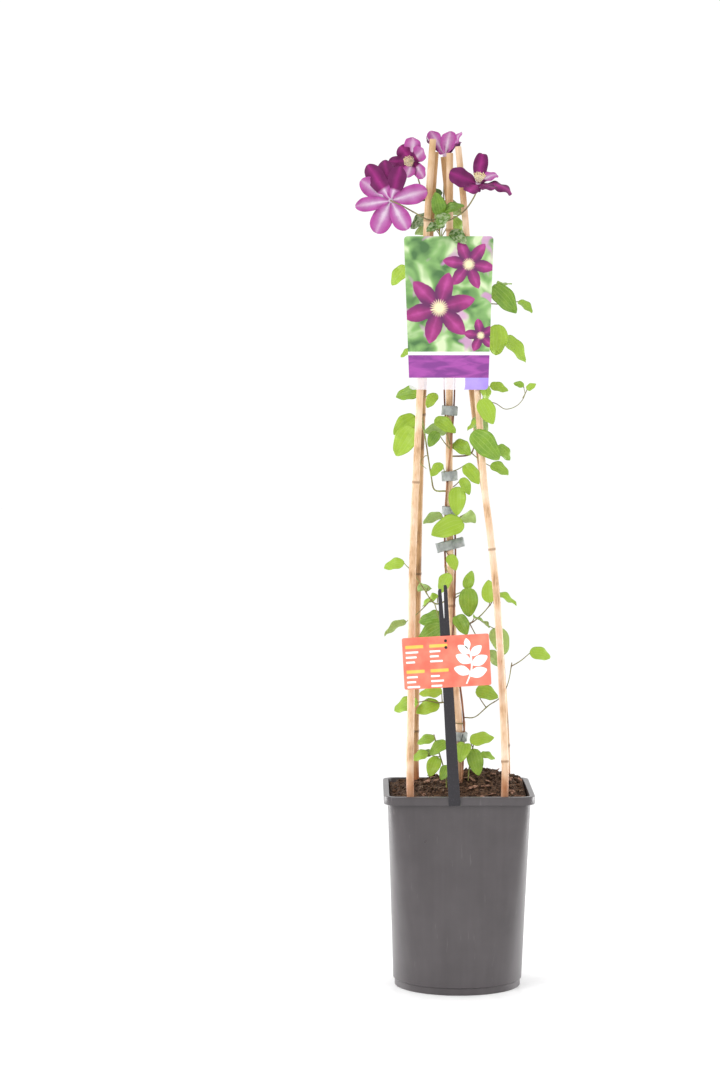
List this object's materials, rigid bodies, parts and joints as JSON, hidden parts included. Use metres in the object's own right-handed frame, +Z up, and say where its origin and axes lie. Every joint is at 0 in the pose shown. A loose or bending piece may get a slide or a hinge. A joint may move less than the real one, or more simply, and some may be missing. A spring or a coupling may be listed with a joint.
{
  "type": "climbing plant in a nursery pot",
  "caption": "Climbing clematis twined up a trellis of bamboo canes in a square-rimmed nursery pot, with open purple blooms at the top, a picture label and a care card on a stake",
  "frame": {"origin": "centre of the pot's flat underside, on the floor", "axes": "+Z up the plant, -Y towards the front, where the label and the card face, +X to the viewer's right"},
  "size_m": [0.2667, 0.2092, 1.1669],
  "materials": {
    "pot_plastic": "injection-moulded recycled polypropylene, warm dark grey, satin",
    "peat": "loose dark peat and bark, rough",
    "bamboo": "dried bamboo, pale tan, satin skin",
    "bamboo_dark": "dried bamboo, weathered brown, satin skin",
    "stake_plastic": "moulded charcoal plastic, matte",
    "card": "printed orange-red plastic card, semi-gloss",
    "label": "printed picture label on clear film, semi-gloss",
    "tape": "grey tying tape, matte",
    "leaf": "living leaf, yellow-green, waxy satin",
    "tepal": "living petal-like tepal, magenta-purple, velvety",
    "stamen": "cream stamens, matte",
    "stalk": "thin green-brown flower stalk, satin"
  },
  "bodies": {
    "root": {"pot": "pot_plastic", "soil": "peat", "cane_front_left": "bamboo", "cane_front_right": "bamboo", "cane_centre": "bamboo", "cane_back_left": "bamboo_dark", "cane_back_right": "bamboo_dark", "label_stake": "stake_plastic", "info_card": "card", "plant_label": "label", "tape_tie_low": "tape", "tape_tie_loose": "tape", "tape_tie_mid": "tape", "tape_tie_upper": "tape", "tape_tie_high": "tape", "vine_right": "leaf", "vine_left": "leaf", "shoot_left": "leaf", "shoot_right": "leaf", "shoot_left_mid": "leaf", "shoot_right_mid": "leaf", "shoot_left_low": "leaf", "shoot_right_low": "leaf", "shoot_base_left": "leaf", "shoot_base_right": "leaf", "shoot_top_front": "leaf", "shoot_top_back": "leaf", "bloom_left_tepals": "tepal", "bloom_left_stamens": "stamen", "bloom_left_stalk": "stalk", "bloom_upper_left_tepals": "tepal", "bloom_upper_left_stamens": "stamen", "bloom_upper_left_stalk": "stalk", "bloom_top_tepals": "tepal", "bloom_top_stamens": "stamen", "bloom_top_stalk": "stalk", "bloom_right_tepals": "tepal", "bloom_right_stamens": "stamen", "bloom_right_stalk": "stalk"}
  },
  "joints": []
}
